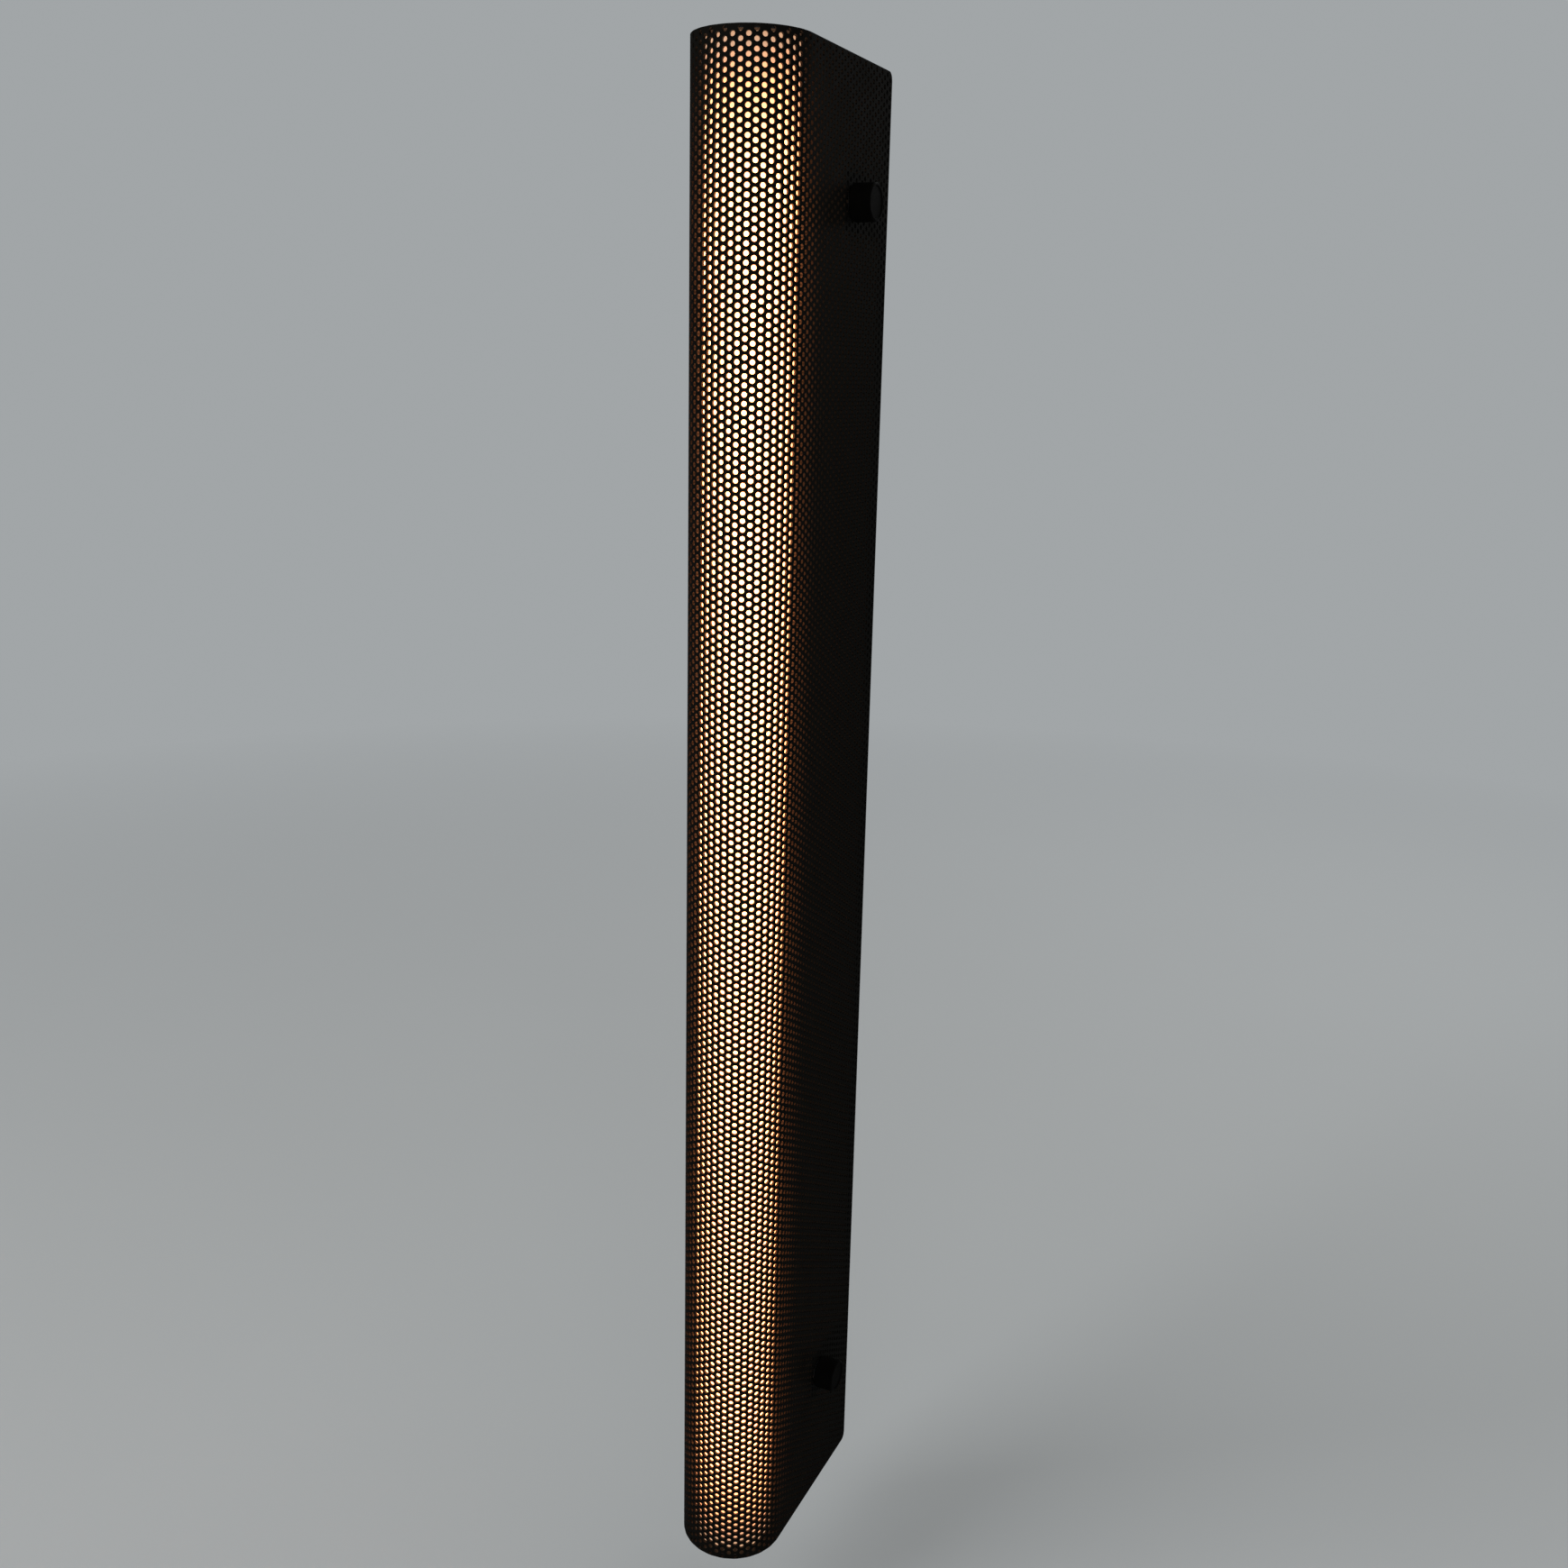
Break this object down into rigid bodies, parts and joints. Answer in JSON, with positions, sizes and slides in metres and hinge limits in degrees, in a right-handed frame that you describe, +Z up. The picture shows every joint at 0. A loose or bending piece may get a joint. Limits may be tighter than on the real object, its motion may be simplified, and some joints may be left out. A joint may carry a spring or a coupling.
{
  "type": "mesh wall light",
  "caption": "Tall wall light: a glowing opal tube behind a U-shaped shade of perforated black sheet, held by thumb knobs on its sides.",
  "frame": {"origin": "middle of the two wall screw slots, on the wall face of the wall plate", "axes": "+Z up along the light, +Y into the wall, -Y out into the room, +X to the right for someone who faces the light"},
  "size_m": [0.1004, 0.1559, 0.97],
  "materials": {
    "shade_coat": "matte black powder coat on perforated steel sheet",
    "plate_coat": "matte black powder coat on plain steel sheet",
    "knob_black": "satin moulded black plastic",
    "opal": "opal acrylic tube, satin, lit warm white from inside",
    "zinc_steel": "zinc-plated steel",
    "white_plastic": "moulded white plastic",
    "black_plastic": "moulded black plastic",
    "carrier_aluminium": "plain extruded aluminium",
    "lamp_board": "white solder mask on a laminate strip",
    "lamp_chip": "yellow phosphor in a white chip",
    "circuit_board": "green solder mask on laminate",
    "ferrite": "dark grey pressed ferrite",
    "copper": "enamelled copper wire and copper strap",
    "can_sleeve": "dark shrink sleeve on aluminium cans",
    "terminal_plastic": "moulded dark grey plastic",
    "brass": "plain machined brass",
    "black_rubber": "soft black rubber",
    "brown_insulation": "brown wire insulation",
    "blue_insulation": "blue wire insulation",
    "green_yellow_insulation": "green and yellow wire insulation",
    "black_insulation": "black round two-core lead"
  },
  "bodies": {
    "wall_unit": {"wall_plate": "plate_coat", "plate_studs": "zinc_steel", "top_cap": "plate_coat", "bottom_cap": "plate_coat", "top_tube_seat": "white_plastic", "bottom_tube_seat": "white_plastic", "seat_screws": "zinc_steel", "cap_nuts": "zinc_steel", "diffuser_tube": "opal", "led_carrier": "carrier_aluminium", "led_board_left": "lamp_board", "led_board_right": "lamp_board", "led_chips_left": "lamp_chip", "led_chips_right": "lamp_chip", "board_link": "copper", "driver_base": "black_plastic", "driver_cover": "black_plastic", "driver_board": "circuit_board", "driver_transformer_core": "ferrite", "driver_transformer_coil": "copper", "driver_capacitors": "can_sleeve", "driver_nuts": "zinc_steel", "terminal_block": "terminal_plastic", "terminal_clamps": "brass", "terminal_screws": "zinc_steel", "block_nuts": "zinc_steel", "cable_bush": "black_rubber", "earth_tag": "brass", "earth_nut": "zinc_steel", "lead_clips": "black_plastic", "tube_bush": "black_rubber", "live_wire": "brown_insulation", "neutral_wire": "blue_insulation", "earth_wire": "green_yellow_insulation", "led_lead": "black_insulation"},
    "shade": {"mesh_shade": "shade_coat", "knob_washers": "black_plastic", "clamp_nuts": "zinc_steel"},
    "knob_upper_left": {"knob_upper_left": "knob_black", "stud_upper_left": "zinc_steel"},
    "knob_upper_right": {"knob_upper_right": "knob_black", "stud_upper_right": "zinc_steel"},
    "knob_lower_left": {"knob_lower_left": "knob_black", "stud_lower_left": "zinc_steel"},
    "knob_lower_right": {"knob_lower_right": "knob_black", "stud_lower_right": "zinc_steel"}
  },
  "joints": [
    {"name": "shade_slide", "type": "slide", "parent": "wall_unit", "child": "shade", "axis": [0, -1, 0], "range_m": [0, 0.16]},
    {"name": "upper_left_knob_turn", "type": "hinge", "parent": "shade", "child": "knob_upper_left", "pos_m": [-0.036, -0.057, 0.405], "axis": [-1, 0, 0], "range_deg": [0, 540]},
    {"name": "upper_right_knob_turn", "type": "hinge", "parent": "shade", "child": "knob_upper_right", "pos_m": [0.036, -0.057, 0.405], "axis": [1, 0, 0], "range_deg": [0, 540]},
    {"name": "lower_left_knob_turn", "type": "hinge", "parent": "shade", "child": "knob_lower_left", "pos_m": [-0.036, -0.057, -0.39], "axis": [-1, 0, 0], "range_deg": [0, 540]},
    {"name": "lower_right_knob_turn", "type": "hinge", "parent": "shade", "child": "knob_lower_right", "pos_m": [0.036, -0.057, -0.39], "axis": [1, 0, 0], "range_deg": [0, 540]}
  ]
}
